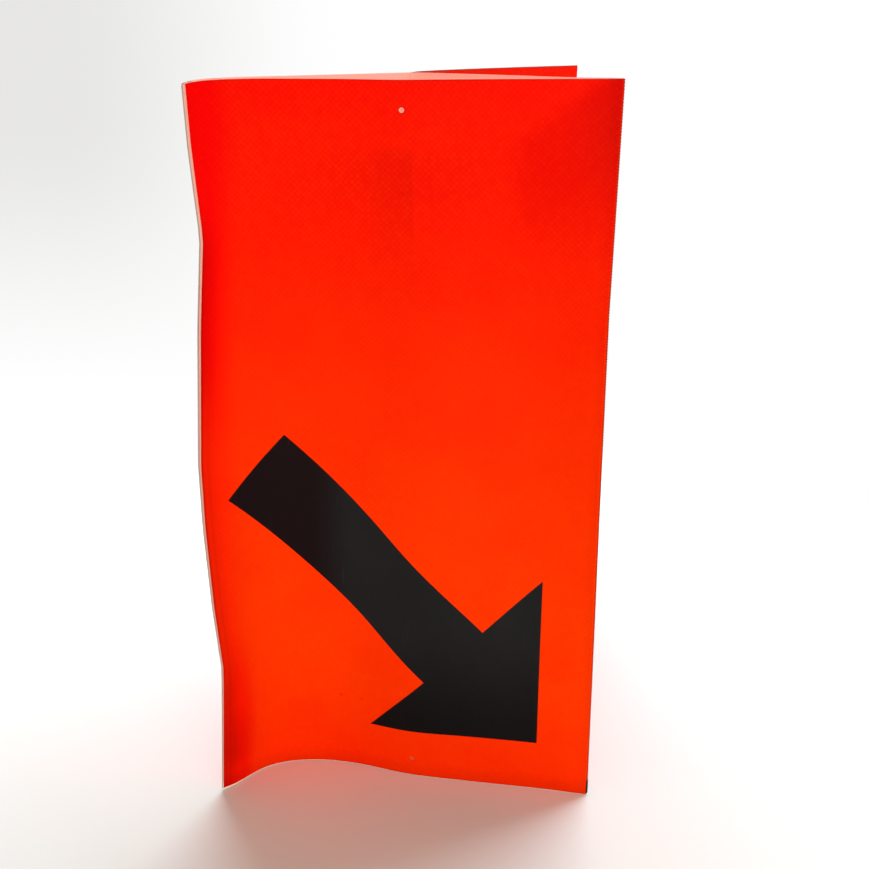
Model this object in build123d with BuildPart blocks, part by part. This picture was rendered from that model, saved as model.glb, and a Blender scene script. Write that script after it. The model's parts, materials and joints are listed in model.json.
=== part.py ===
"""Free-standing sign of flexible faced sheet: hinged panels that stand on edge around a triangle."""

import os
from math import asin, atan2, cos, degrees, hypot, radians, sin, sqrt, tan

from build123d import *

# Sheet and panels, in millimetres
panel_width = 330.0
panel_height = 600.0
fold_spacing = 320.0
core_thickness = 1.6
film_thickness = 0.4
glue_line = 0.1
film_margin = 0.5
film_left_margin = 1.5

# Bend of the front panel: depth behind the fold line at each share of its width, from the foot up
front_levels = (0.0, 0.25, 0.5, 0.75, 1.0)
front_stations = (0.10, 0.24, 0.38, 0.50, 0.62, 0.80)
front_depths = (
    (37.0, 50.5, 42.5, 28.5, 20.0, 9.5),
    (30.5, 44.5, 40.0, 25.0, 20.0, 16.5),
    (25.0, 38.0, 32.0, 20.0, 12.5, 22.0),
    (12.5, 21.0, 17.5, 10.5, 7.0, 13.0),
    (0.0, 0.0, 0.0, 0.0, 0.0, 0.0),
)
front_left_rise = 0.6
bend_samples = 15

# Rear panels, folds and the left corner
right_bow = 15.0
fold_setback = 3.0
seam_gap = 0.05
closing_heading = 55.0
closing_end_gap = 4.0
closed_gap = 0.5
left_edge_gap = 1.3
left_panel_gap = 3.0
left_end_gap = 5.8
tape_width = 12.0
tape_thickness = 0.25

# Arrow of black film, laid out on the flat panel
arrow_thickness = 0.15
arrow_head_leg = 150.0
arrow_shaft_width = 71.0
arrow_shaft_length = 243.5
arrow_tip_from_fold = 46.5
arrow_tip_height = 44.5

# Fastening holes, the front ones by their distance from the right fold, foot first, and the label at its foot
hole_radius = 2.5
top_hole_drop = 22.0
bottom_hole_height = 17.0
front_hole_runs = (157.0, 161.0)
label_length = 40.0
label_height = 12.0
label_foot = 1.5
label_thickness = 0.15

# How far cutting shapes run past what they cut
cutter_overreach = 10.0

# Offsets of each layer from the middle of the sheet, outwards
half_sheet = (core_thickness + glue_line + film_thickness) / 2
core_band = (-half_sheet, -half_sheet + core_thickness)
film_band = (half_sheet - film_thickness, half_sheet)
arrow_band = (half_sheet + glue_line, half_sheet + glue_line + arrow_thickness)
label_band = (half_sheet + glue_line, half_sheet + glue_line + label_thickness)
tape_band = (-half_sheet - glue_line - tape_thickness, -half_sheet - glue_line)

# Fold axes in plan: right and rear folds lie in the middle of the sheet, the left one on its inner face
right_axis = (fold_spacing / 2, 0.0)
rear_axis = (0.0, sqrt(panel_width**2 - (fold_spacing / 2) ** 2))
left_axis = (-fold_spacing / 2, half_sheet)

# Headings in degrees, each pointing away from the panel's own fold
right_heading = degrees(atan2(rear_axis[1] - right_axis[1], rear_axis[0] - right_axis[0]))
right_bow_turn = degrees(4 * atan2(2 * right_bow, panel_width)) / 2
right_start_heading = right_heading - right_bow_turn
right_end_heading = right_heading + right_bow_turn
left_run = hypot(rear_axis[0] - left_axis[0], rear_axis[1] - left_axis[1])
closed_offset = half_sheet + closed_gap + 2 * half_sheet
left_direct_heading = degrees(atan2(rear_axis[1] - left_axis[1], rear_axis[0] - left_axis[0]))
left_heading = left_direct_heading - degrees(asin(closed_offset / left_run))

# The left panel stops short of the right panel's inner face, which crosses its path near the rear fold
crossing_angle = radians(right_end_heading - left_heading)
left_path = sqrt(left_run**2 - closed_offset**2)
inner_face_run = closed_offset / tan(crossing_angle) + half_sheet / sin(crossing_angle)
left_reach = left_path - inner_face_run - left_end_gap

# The origin is the middle of the footprint, with the closing panel standing open
closing_run = panel_width - closing_end_gap
closing_far_x = rear_axis[0] + closing_run * cos(radians(closing_heading))
closing_far_y = rear_axis[1] + closing_run * sin(radians(closing_heading))
footprint_middle = ((left_axis[0] + closing_far_x) / 2, closing_far_y / 2)

# Reach of the drills and outline cutters to each side of a panel's own plane
drill_reach = right_bow + cutter_overreach
deepest_bow = max(right_bow, max(max(depths) for depths in front_depths))
outline_reach = deepest_bow + cutter_overreach


def heading_vector(heading):
    """Unit vector in plan for a heading in degrees."""
    return Vector(cos(radians(heading)), sin(radians(heading)))


def panel_plane(axis, heading):
    """Upright plane of a flat panel: x along its heading, y up, z outwards."""
    along = heading_vector(heading)
    outward = Vector(along.Y, -along.X)
    return Plane(origin=(axis[0], axis[1], 0), x_dir=along, z_dir=outward)


def arrow_points(far_edge):
    """Corners of the flat arrow, which points down towards far_edge, as (distance, height)."""
    tip_x = far_edge - arrow_tip_from_fold
    head_middle = Vector(tip_x - arrow_head_leg / 2, arrow_tip_height + arrow_head_leg / 2)
    back = Vector(-1, 1) * (arrow_shaft_length / sqrt(2))
    side = Vector(1, 1) * (arrow_shaft_width / 2 / sqrt(2))
    corners = [
        Vector(tip_x, arrow_tip_height),
        Vector(tip_x, arrow_tip_height + arrow_head_leg),
        head_middle + side,
        head_middle + side + back,
        head_middle - side + back,
        head_middle - side,
        Vector(tip_x - arrow_head_leg, arrow_tip_height),
    ]
    return [(corner.X, corner.Y) for corner in corners]


def hole_heights():
    """Heights of the two holes on a panel's centre line."""
    return (bottom_hole_height, panel_height - top_hole_drop)


def front_section(depths):
    """Plan curve of the front panel at one level, from the left corner to the right fold."""
    points = [(-fold_spacing / 2, 0)]
    for station, depth in zip(front_stations, depths):
        points.append((fold_spacing * (station - 0.5), depth))
    points.append((fold_spacing / 2, 0))
    left_rise = front_left_rise * depths[0] / front_depths[0][0]
    right_fall = -depths[-1] / (fold_spacing * (1 - front_stations[-1]))
    return Spline(*points, tangents=[(1, left_rise), (1, right_fall)], mode=Mode.PRIVATE)


def front_depths_at(height):
    """Depths at the stations for any height, between the levels given above."""
    share = height / panel_height * (len(front_levels) - 1)
    lower = min(int(share), len(front_levels) - 2)
    blend = share - lower
    pairs = zip(front_depths[lower], front_depths[lower + 1])
    return [low + (high - low) * blend for low, high in pairs]


def front_plane(distance, height):
    """Upright plane on the bent front panel for a flat distance from its left corner, z outwards."""
    curve = front_section(front_depths_at(height))
    along = curve.length - (panel_width - distance)
    place = curve.position_at(along, PositionMode.LENGTH)
    tangent = curve.tangent_at(along, PositionMode.LENGTH)
    outward = Vector(tangent.Y, -tangent.X)
    return Plane(origin=(place.X, place.Y, height), x_dir=tangent, z_dir=outward)


def offset_points(curve, amount):
    """Points set off outwards from a plan curve."""
    points = []
    for sample in range(bend_samples):
        share = sample / (bend_samples - 1)
        tangent = curve % share
        points.append(curve @ share + Vector(tangent.Y, -tangent.X) * amount)
    return points


def front_layer(band, start, end):
    """One layer of the bent front panel, between two distances across it."""
    with BuildPart() as layer:
        for level, depths in zip(front_levels, front_depths):
            curve = front_section(depths)
            with BuildSketch(Plane.XY.offset(level * panel_height)):
                with BuildLine():
                    near = Spline(*offset_points(curve, band[0]))
                    far = Spline(*offset_points(curve, band[1]))
                    Line(near @ 0, far @ 0)
                    Line(near @ 1, far @ 1)
                make_face()
        loft()
        split(bisect_by=Plane.YZ.offset(start), keep=Keep.TOP)
        split(bisect_by=Plane.YZ.offset(end), keep=Keep.BOTTOM)
    return layer.part


def front_holes(piece):
    """Drills the two holes of the front panel, each square to the sheet there."""
    with BuildPart() as drilled:
        add(piece)
        for height, run in zip(hole_heights(), front_hole_runs):
            with BuildSketch(front_plane(panel_width - run, height)):
                Circle(hole_radius)
            extrude(amount=drill_reach, both=True, mode=Mode.SUBTRACT)
    return drilled.part


def trim_film(piece):
    """Holds a film back from the foot and the top of its panel."""
    with BuildPart() as trimmed:
        add(piece)
        split(bisect_by=Plane.XY.offset(film_margin), keep=Keep.TOP)
        split(bisect_by=Plane.XY.offset(panel_height - film_margin), keep=Keep.BOTTOM)
    return trimmed.part


def right_layer(band, start, end, low, high):
    """One layer of the bowed right panel, between two distances from its fold."""
    chord = panel_plane(right_axis, right_heading)
    radius = (panel_width**2 / 4 + right_bow**2) / (2 * right_bow)
    half_angle = asin(panel_width / 2 / radius)
    middle = Vector(*right_axis) + heading_vector(right_heading) * (panel_width / 2)
    centre = middle + Vector(chord.z_dir.X, chord.z_dir.Y) * (right_bow - radius)
    first = right_start_heading - 90 + degrees(start / radius)
    sweep = degrees(2 * half_angle) - degrees((start + panel_width - end) / radius)
    with BuildPart() as layer:
        with BuildSketch(Plane.XY.offset(low)):
            with BuildLine():
                near = CenterArc(centre, radius + band[0], first, sweep)
                far = CenterArc(centre, radius + band[1], first, sweep)
                Line(near @ 0, far @ 0)
                Line(near @ 1, far @ 1)
            make_face()
        extrude(amount=high - low)
    return layer.part


def flat_layer(plane, band, start, end, low, high):
    """One layer of a flat panel, between two distances along its plane."""
    with BuildPart() as layer:
        with BuildSketch(plane.offset(band[0])):
            with Locations(((start + end) / 2, (low + high) / 2)):
                Rectangle(end - start, high - low)
        extrude(amount=band[1] - band[0])
    return layer.part


def drill(piece, plane, middle):
    """Drills the two holes of a panel square to its plane."""
    with BuildPart() as drilled:
        add(piece)
        with BuildSketch(plane):
            with Locations(*[(middle, height) for height in hole_heights()]):
                Circle(hole_radius)
        extrude(amount=drill_reach, both=True, mode=Mode.SUBTRACT)
    return drilled.part


def cut_to_outline(piece, plane, points):
    """Keeps the part of a layer that lies inside an outline on a plane."""
    with BuildPart() as cut:
        add(piece)
        with BuildSketch(plane):
            with BuildLine():
                Polyline(*points, close=True)
            make_face()
        extrude(amount=outline_reach, both=True, mode=Mode.INTERSECT)
    return cut.part


def fold_strip(axis, heading_in, heading_out, band, low, high):
    """Bent strip of one layer that joins two panels round a fold axis."""
    turn = heading_out - heading_in
    side = 1 if turn > 0 else -1
    radius = fold_setback / tan(radians(abs(turn)) / 2)
    start = Vector(*axis) - heading_vector(heading_in) * fold_setback
    centre = start + heading_vector(heading_in + 90 * side) * radius
    ease = degrees(seam_gap / radius) * side
    first = heading_in - 90 * side + ease
    sweep = turn - 2 * ease
    with BuildPart() as strip:
        with BuildSketch(Plane.XY.offset(low)):
            with BuildLine():
                near = CenterArc(centre, radius + side * band[0], first, sweep)
                far = CenterArc(centre, radius + side * band[1], first, sweep)
                Line(near @ 0, far @ 0)
                Line(near @ 1, far @ 1)
            make_face()
        extrude(amount=high - low)
    return strip.part


def save(piece, name):
    """Sets a finished piece about the origin, labels it and writes it."""
    placed = piece.moved(Location((-footprint_middle[0], -footprint_middle[1], 0)))
    placed.label = name
    export_step(placed, f"parts/{name}.step")


os.makedirs("parts", exist_ok=True)
film_low = film_margin
film_high = panel_height - film_margin

# Front panel
front_start = -fold_spacing / 2 + left_edge_gap
front_end = fold_spacing / 2 - fold_setback
save(front_holes(front_layer(core_band, front_start, front_end)), "front_core")
front_film_layer = front_layer(film_band, front_start + film_left_margin, front_end)
save(front_holes(trim_film(front_film_layer)), "front_film")
front_outline = [(front_plane(x, z).origin.X, z) for x, z in arrow_points(panel_width)]
front_view = Plane(origin=(0, 0, 0), x_dir=(1, 0, 0), z_dir=(0, -1, 0))
front_arrow_layer = front_layer(arrow_band, front_start, front_end)
save(cut_to_outline(front_arrow_layer, front_view, front_outline), "front_arrow")

# Right fold, part of the same sheet
right_fold = (right_axis, 0.0, right_start_heading)
save(fold_strip(*right_fold, core_band, 0, panel_height), "right_fold_core")
save(fold_strip(*right_fold, film_band, film_low, film_high), "right_fold_film")

# Right rear panel
right_view = panel_plane(right_axis, right_heading)
right_span = (fold_setback, panel_width - fold_setback)
right_core = right_layer(core_band, *right_span, 0, panel_height)
right_film = right_layer(film_band, *right_span, film_low, film_high)
save(drill(right_core, right_view, panel_width / 2), "right_core")
save(drill(right_film, right_view, panel_width / 2), "right_film")
right_arrow_layer = right_layer(arrow_band, *right_span, film_low, film_high)
save(cut_to_outline(right_arrow_layer, right_view, arrow_points(panel_width)), "right_arrow")

# Plain label at the foot of the right fold
label_span = (fold_setback, fold_setback + label_length)
save(right_layer(label_band, *label_span, label_foot, label_foot + label_height), "corner_label")

# Rear fold, which bends the other way while the closing panel stands open
rear_fold = (rear_axis, right_end_heading, closing_heading)
save(fold_strip(*rear_fold, core_band, 0, panel_height), "rear_fold_core")
save(fold_strip(*rear_fold, film_band, film_low, film_high), "rear_fold_film")

# Closing panel
closing_view = panel_plane(rear_axis, closing_heading)
closing_span = (fold_setback, closing_run)
closing_core = flat_layer(closing_view, core_band, *closing_span, 0, panel_height)
closing_film = flat_layer(closing_view, film_band, *closing_span, film_low, film_high)
save(drill(closing_core, closing_view, panel_width / 2), "closing_core")
save(drill(closing_film, closing_view, panel_width / 2), "closing_film")
closing_arrow_layer = flat_layer(closing_view, arrow_band, *closing_span, film_low, film_high)
save(cut_to_outline(closing_arrow_layer, closing_view, arrow_points(panel_width)), "closing_arrow")

# Left rear panel, whose inner face passes through its fold axis
left_inward = heading_vector(left_heading - 90)
left_middle_axis = Vector(*left_axis) - left_inward * half_sheet
left_view = panel_plane((left_middle_axis.X, left_middle_axis.Y), left_heading + 180)
left_span = (-left_reach, -left_panel_gap)
left_core = flat_layer(left_view, core_band, *left_span, 0, panel_height)
left_film = flat_layer(left_view, film_band, *left_span, film_low, film_high)
save(drill(left_core, left_view, -panel_width / 2), "left_core")
save(drill(left_film, left_view, -panel_width / 2), "left_film")

# Hinge tape inside the left corner
with BuildPart() as left_hinge_tape:
    add(front_layer(tape_band, -fold_spacing / 2, -fold_spacing / 2 + tape_width))
    add(flat_layer(left_view, tape_band, -tape_width, 0, 0, panel_height))
    split(bisect_by=Plane.XY.offset(film_low), keep=Keep.TOP)
    split(bisect_by=Plane.XY.offset(film_high), keep=Keep.BOTTOM)
save(left_hinge_tape.part, "left_hinge_tape")
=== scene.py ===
"""Looks of the free-standing sign of flexible faced sheet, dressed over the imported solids."""

import json
from math import atan2, cos, exp, hypot, pi, radians, sin, sqrt, tan

import bpy
import numpy as np
from mathutils import Matrix, Vector
from mathutils.geometry import delaunay_2d_cdt


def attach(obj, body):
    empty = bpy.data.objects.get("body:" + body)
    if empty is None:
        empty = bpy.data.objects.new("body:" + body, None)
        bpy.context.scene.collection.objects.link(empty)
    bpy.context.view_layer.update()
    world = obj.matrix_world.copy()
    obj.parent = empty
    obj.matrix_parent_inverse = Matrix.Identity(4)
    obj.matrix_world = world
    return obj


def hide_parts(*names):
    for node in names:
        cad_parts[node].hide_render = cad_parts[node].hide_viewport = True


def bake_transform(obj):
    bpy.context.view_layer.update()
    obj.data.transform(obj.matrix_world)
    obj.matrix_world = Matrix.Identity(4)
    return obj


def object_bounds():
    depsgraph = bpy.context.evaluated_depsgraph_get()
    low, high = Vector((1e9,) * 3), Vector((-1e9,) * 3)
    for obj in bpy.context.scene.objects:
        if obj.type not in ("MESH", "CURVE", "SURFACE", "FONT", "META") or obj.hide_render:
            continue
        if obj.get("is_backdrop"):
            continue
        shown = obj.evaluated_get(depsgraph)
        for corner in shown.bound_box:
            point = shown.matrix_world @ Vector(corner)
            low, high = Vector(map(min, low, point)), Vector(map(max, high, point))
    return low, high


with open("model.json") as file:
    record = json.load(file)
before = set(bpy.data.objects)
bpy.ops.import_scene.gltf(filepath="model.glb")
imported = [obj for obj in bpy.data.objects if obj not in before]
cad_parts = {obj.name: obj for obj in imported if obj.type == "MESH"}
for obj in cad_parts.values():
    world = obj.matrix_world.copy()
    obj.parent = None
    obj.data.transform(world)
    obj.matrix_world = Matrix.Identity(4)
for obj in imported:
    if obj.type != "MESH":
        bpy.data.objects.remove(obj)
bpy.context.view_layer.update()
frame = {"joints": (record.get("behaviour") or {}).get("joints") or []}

# Sizes of the sheet and its panels, in metres
panel_width = 0.330
panel_height = 0.600
fold_spacing = 0.320
fold_setback = 0.003
film_margin = 0.0005
film_low = film_margin
film_high = panel_height - film_margin
left_edge_gap = 0.0013
left_panel_gap = 0.0030
left_reach = 0.32196
core_left_margins = (-0.0008, 0.0)
film_left_margins = (-0.0007, 0.0021)
film_foot_peel = 0.0021
film_foot_peel_reach = 0.030
tape_width = 0.012
closing_run = 0.3254
closing_slack = 0.0006
closing_corner_lift = 0.0039
right_bow = 0.015

# Bands of the layers through the thickness, from the sheet's middle outwards
half_sheet = 0.00105
core_band = (-0.00105, 0.00055)
film_band = (0.00065, 0.00105)
print_band = (0.00115, 0.00130)
tape_band = (-0.00140, -0.00115)
crease_band = (0.00005, half_sheet)

# Fold axes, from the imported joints
fold_places = {joint["name"]: Vector(joint["pos_m"]) for joint in frame["joints"]}
left_axis = fold_places["left_fold"]
right_axis = fold_places["right_fold"]
rear_axis = fold_places["rear_fold"]
front_left_x = right_axis.x - fold_spacing
fold_line_y = right_axis.y

# Headings of the standing panels in plan, pointing away from each panel's own fold
right_heading = atan2(rear_axis.y - right_axis.y, rear_axis.x - right_axis.x)
right_bow_turn = 2 * atan2(2 * right_bow, panel_width)
right_start_heading = right_heading - right_bow_turn
right_end_heading = right_heading + right_bow_turn
closing_heading = radians(55.0)
left_heading = radians(60.2733)
crease_middle = radians(150)

# Bend of the front panel: depth behind the fold line at each share of its width, from the foot up
front_levels = np.array((0.0, 0.25, 0.5, 0.75, 1.0)) * panel_height
front_stations = np.array((0.0, 0.10, 0.24, 0.38, 0.50, 0.62, 0.80, 1.0)) * fold_spacing
front_depths = 0.001 * np.array((
    (0, 37.0, 50.5, 42.5, 28.5, 20.0, 9.5, 0),
    (0, 30.5, 44.5, 40.0, 25.0, 20.0, 16.5, 0),
    (0, 25.0, 38.0, 32.0, 20.0, 12.5, 22.0, 0),
    (0, 12.5, 21.0, 17.5, 10.5, 7.0, 13.0, 0),
    (0, 0, 0, 0, 0, 0, 0, 0),
))
front_left_rise = 0.75

# How the standing sign has settled: sideways waver of a corner at each height
left_waver_heights = 0.001 * np.array((0, 118, 174, 246, 300, 345, 413, 484, 521, 551, 600))
left_waver = 0.001 * np.array((-0.4, 4.7, -0.5, -4.6, -5.5, -3.4, -0.2, 5.1, 2.0, -0.4, -2.5))
right_waver_heights = 0.001 * np.array((0, 300, 425, 519, 600))
right_waver = 0.001 * np.array((-1.7, -1.5, -1.2, 0.8, 2.5))
waver_spread = 0.030
top_waver_places = 0.001 * np.array((-170, -120, -60, -20, 60, 150))
top_waver = 0.001 * np.array((-0.4, 0.6, 0.5, 0.0, 0.8, 1.3))
top_waver_height = 0.060
top_waver_depth = 0.060
right_foot_forward = 0.0030
corner_droop = 0.0043
foot_lift = 0.0003
corner_spread = 0.010
corner_height = 0.030
foot_lift_wide = 0.0009
foot_lift_reach = 0.060

# Arrow, holes and label, laid out on the flat panel
arrow_head_leg = 0.150
arrow_shaft_width = 0.071
arrow_shaft_length = 0.2435
arrow_tip_from_fold = 0.0465
arrow_tip_height = 0.0445
hole_radius = 0.0025
film_hole_radius = 0.0021
core_hole_radius = 0.0014
hole_heights = (0.017, 0.578)
front_hole_runs = (0.157, 0.161)
front_holes = [(panel_width - run, height) for run, height in zip(front_hole_runs, hole_heights)]
panel_holes = [(panel_width / 2, height) for height in hole_heights]
left_holes = [(-panel_width / 2, height) for height in hole_heights]
label_length = 0.040
label_height = 0.012
label_foot = 0.0015
label_top = label_foot + label_height

# Right fold: how far its ends carry on straight, where its film takes painted shade, where the label starts,
# its ridges
fold_roundness = 1.3
fold_shade_shares = (0.30, 0.42)
label_wrap_share = 0.28
ridge_pitch = 0.0023
ridge_height = 0.0006
ridge_base = 0.0009

# Mesh steps, and the shares of a step that inner points keep clear of edges and holes
front_step = 0.006
panel_step = 0.012
tape_step = 0.002
crease_step = 0.0003
fold_parts = 8
ridge_parts = 4
hole_sides = 28
edge_room = 0.45
hole_room = 0.3
weld_distance = 1e-7

# Table of the bent front: heights, runs from the right fold, and a hold inside its last cell
table_heights = np.linspace(0, panel_height, 121)
table_runs = np.linspace(0, 0.360, 181)
table_line_points = 600
table_hold = 1.001


# Flat sheets cut to an outline

def even_steps(first, last, step):
    """Evenly spaced values from first to last, about a step apart."""
    return np.linspace(first, last, max(2, round(abs(last - first) / step) + 1))


def along_edges(corners, step):
    """Points along a closed outline, about a step apart."""
    points = []
    for (x0, y0), (x1, y1) in zip(corners, corners[1:] + corners[:1]):
        count = max(1, round(hypot(x1 - x0, y1 - y0) / step))
        for part in range(count):
            share = part / count
            points.append((x0 + (x1 - x0) * share, y0 + (y1 - y0) * share))
    return points


def strip_outline(left, right, up, step, peel=0.0):
    """Outline of a strip with its two sides given at rising heights, peeled back at its left foot."""
    foot = even_steps(left[0], right[0], step)[:-1]
    points = [(x, up[0] + peel * exp((left[0] - x) / film_foot_peel_reach)) for x in foot]
    points += zip(right[:-1], up[:-1])
    points += [(x, up[-1]) for x in even_steps(left[-1], right[-1], step)[:0:-1]]
    points += zip(left[:0:-1], up[:0:-1])
    return points


def rectangle(left, right, low, high, steps):
    """Outline of a rectangle, with points about a step apart."""
    up = even_steps(low, high, steps[1])
    return strip_outline(np.full(len(up), left), np.full(len(up), right), up, steps[0])


def arrow_outline(step):
    """Outline of the flat arrow, which points down towards the panel's far fold."""
    tip_x = panel_width - arrow_tip_from_fold
    middle = Vector((tip_x - arrow_head_leg / 2, arrow_tip_height + arrow_head_leg / 2))
    back = Vector((-1, 1)) * (arrow_shaft_length / sqrt(2))
    side = Vector((1, 1)) * (arrow_shaft_width / 2 / sqrt(2))
    corners = [
        Vector((tip_x, arrow_tip_height)),
        Vector((tip_x, arrow_tip_height + arrow_head_leg)),
        middle + side,
        middle + side + back,
        middle - side + back,
        middle - side,
        Vector((tip_x - arrow_head_leg, arrow_tip_height)),
    ]
    return along_edges([tuple(corner) for corner in corners], step)


def inside(outline, places):
    """True for each place that lies inside a closed outline."""
    found = np.zeros(len(places), bool)
    for (x0, y0), (x1, y1) in zip(outline, outline[1:] + outline[:1]):
        if y0 == y1:
            continue
        crosses = (places[:, 1] < y0) != (places[:, 1] < y1)
        at = x0 + (places[:, 1] - y0) * (x1 - x0) / (y1 - y0)
        found ^= crosses & (places[:, 0] < at)
    return found


def clear_of(points, places, room):
    """True for each place that keeps its distance from the points given."""
    kept = np.ones(len(places), bool)
    for x, y in points:
        kept &= np.hypot(places[:, 0] - x, places[:, 1] - y) > room
    return kept


def flat_faces(outline, steps, holes, radius):
    """Points and triangles that fill an outline and leave out its holes."""
    turns = [2 * pi * side / hole_sides for side in range(hole_sides)]
    rings = [outline]
    for x, y in holes:
        rings.append([(x + radius * cos(turn), y + radius * sin(turn)) for turn in turns])
    xs = [point[0] for point in outline]
    ys = [point[1] for point in outline]
    across = even_steps(min(xs), max(xs), steps[0])
    grid_x, grid_y = np.meshgrid(across, even_steps(min(ys), max(ys), steps[1]))
    grid = np.stack((grid_x.ravel(), grid_y.ravel()), axis=1)
    kept = inside(outline, grid) & clear_of(outline, grid, edge_room * min(steps))
    kept &= clear_of(holes, grid, radius + hole_room * min(steps))
    points = []
    edges = []
    for ring in rings:
        first = len(points)
        points.extend(ring)
        edges.extend((first + k, first + (k + 1) % len(ring)) for k in range(len(ring)))
    points.extend(map(tuple, grid[kept]))
    found = delaunay_2d_cdt([Vector(point) for point in points], edges, [], 0, weld_distance, False)
    flat = np.array([tuple(point) for point in found[0]])
    faces = np.array(found[2])
    middles = flat[faces].mean(axis=1)
    faces = faces[inside(outline, middles) & clear_of(holes, middles, radius * cos(pi / hole_sides))]
    side_1 = flat[faces[:, 1]] - flat[faces[:, 0]]
    side_2 = flat[faces[:, 2]] - flat[faces[:, 0]]
    backwards = side_1[:, 0] * side_2[:, 1] < side_1[:, 1] * side_2[:, 0]
    faces[backwards] = faces[backwards][:, ::-1]
    return flat, faces


def flat_sheet(name, outline, band, steps, holes=(), radius=hole_radius):
    """Closed flat sheet cut to an outline: x across, y up and z through it, with a map in flat metres."""
    flat, faces = flat_faces(outline, steps, holes, radius)
    used = dict.fromkeys(edge for face in faces for edge in zip(face, np.roll(face, -1)))
    rim = [(start, end) for start, end in used if (end, start) not in used]
    count = len(flat)
    outer = [tuple(face) for face in faces]
    inner = [tuple(count + face[::-1]) for face in faces]
    sides = [(end, start, count + start, count + end) for start, end in rim]
    places = np.column_stack((np.tile(flat, (2, 1)), np.repeat((band[1], band[0]), count)))
    mesh = bpy.data.meshes.new(name)
    mesh.from_pydata(places.tolist(), [], [tuple(map(int, face)) for face in outer + inner + sides])
    layer = mesh.uv_layers.new(name="sheet")
    owners = np.zeros(len(mesh.loops), np.int32)
    mesh.loops.foreach_get("vertex_index", owners)
    layer.data.foreach_set("uv", places[owners, :2].astype(np.float32).ravel())
    cut = mesh.attributes.new("cut_edge", "FLOAT", "FACE")
    shares = np.repeat((1.0, 0.0, 1.0), (len(outer), len(inner), len(sides)))
    cut.data.foreach_set("value", shares.astype(np.float32))
    piece = bpy.data.objects.new(name, mesh)
    bpy.context.scene.collection.objects.link(piece)
    return piece


def mesh_places(mesh):
    """The mesh's vertices as rows of three numbers."""
    places = np.zeros(len(mesh.vertices) * 3, np.float32)
    mesh.vertices.foreach_get("co", places)
    return places.reshape(-1, 3).astype(float)


def move_mesh(mesh, places):
    """Gives the mesh's vertices new places."""
    mesh.vertices.foreach_set("co", places.astype(np.float32).ravel())
    mesh.update()


def mark(piece, name, values):
    """Notes a number or a vector on each point of a piece."""
    kind, key = ("FLOAT_VECTOR", "vector") if values.ndim > 1 else ("FLOAT", "value")
    note = piece.data.attributes.new(name, kind, "POINT")
    note.data.foreach_set(key, values.astype(np.float32).ravel())


def mark_fold_shade(piece, places, shares):
    """Notes on a flat sheet how much painted shade its film takes towards a fold, at places across it."""
    mark(piece, "scored", np.interp(mesh_places(piece.data)[:, 0], places, shares))


# Bent front panel

def curve_slopes(knots, values, first=None, last=None):
    """Slopes at the knots of the smooth curve through the values; an end with no slope is left free."""
    count = len(knots)
    gaps = np.diff(knots)
    system = np.zeros((count, count))
    target = np.zeros(values.shape)
    for k in range(1, count - 1):
        system[k, k - 1] = 1 / gaps[k - 1]
        system[k, k] = 2 / gaps[k - 1] + 2 / gaps[k]
        system[k, k + 1] = 1 / gaps[k]
        target[k] = 3 * (values[k] - values[k - 1]) / gaps[k - 1] ** 2
        target[k] += 3 * (values[k + 1] - values[k]) / gaps[k] ** 2
    for end, beside, slope in ((0, 1, first), (-1, -2, last)):
        system[end, end] = 1 if slope is not None else 2
        if slope is not None:
            target[end] = slope
        else:
            system[end, beside] = 1
            target[end] = 3 * (values[beside] - values[end]) / (knots[beside] - knots[end])
    return np.linalg.solve(system, target)


def curve_between(start, end, start_pull, end_pull, share):
    """Places at a share of the way along a smooth curve between two ends, with its pull at each end."""
    leaving = start * (1 + 2 * share) * (1 - share) ** 2 + start_pull * share * (1 - share) ** 2
    arriving = end * share**2 * (3 - 2 * share) - end_pull * share**2 * (1 - share)
    return leaving + arriving


def follow_curve(knots, values, slopes, where):
    """Values at any places on a curve given by its knots, values and slopes."""
    below = np.clip(np.searchsorted(knots, where) - 1, 0, len(knots) - 2)
    gap = (knots[below + 1] - knots[below])[:, None]
    share = (where[:, None] - knots[below][:, None]) / gap
    pulls = (slopes[below] * gap, slopes[below + 1] * gap)
    return curve_between(values[below], values[below + 1], *pulls, share)


def runs_along(line):
    """Lengths along a line of points, from its first point."""
    return np.concatenate(((0,), np.cumsum(np.hypot(*np.diff(line, axis=0).T))))


def front_table():
    """Plan places on the bent front by height and run from the right fold, and its length by height."""
    level_slopes = curve_slopes(front_levels, front_depths)
    depths = follow_curve(front_levels, front_depths, level_slopes, table_heights)
    places = np.zeros((len(table_heights), len(table_runs), 2))
    lengths = np.zeros(len(table_heights))
    for row, depth in enumerate(depths):
        corners = np.stack((front_stations, depth), axis=1)
        knots = runs_along(corners)
        first = np.array((1, front_left_rise * depth[1] / front_depths[0, 1]))
        last = np.array((1, -depth[-2] / (front_stations[-1] - front_stations[-2])))
        slopes = curve_slopes(knots, corners, first / np.hypot(*first), last / np.hypot(*last))
        line = follow_curve(knots, corners, slopes, np.linspace(0, knots[-1], table_line_points))[::-1]
        runs = runs_along(line)
        lengths[row] = runs[-1]
        past = np.maximum(table_runs - runs[-1], 0)[:, None]
        for axis in range(2):
            places[row, :, axis] = np.interp(table_runs, runs, line[:, axis])
        places[row] += past * (-first / np.hypot(*first))
    places[:, :, 0] += front_left_x
    places[:, :, 1] += fold_line_y
    return places, lengths


front_places, front_lengths = front_table()
front_tangents = -np.gradient(front_places, table_runs[1], axis=1)


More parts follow.
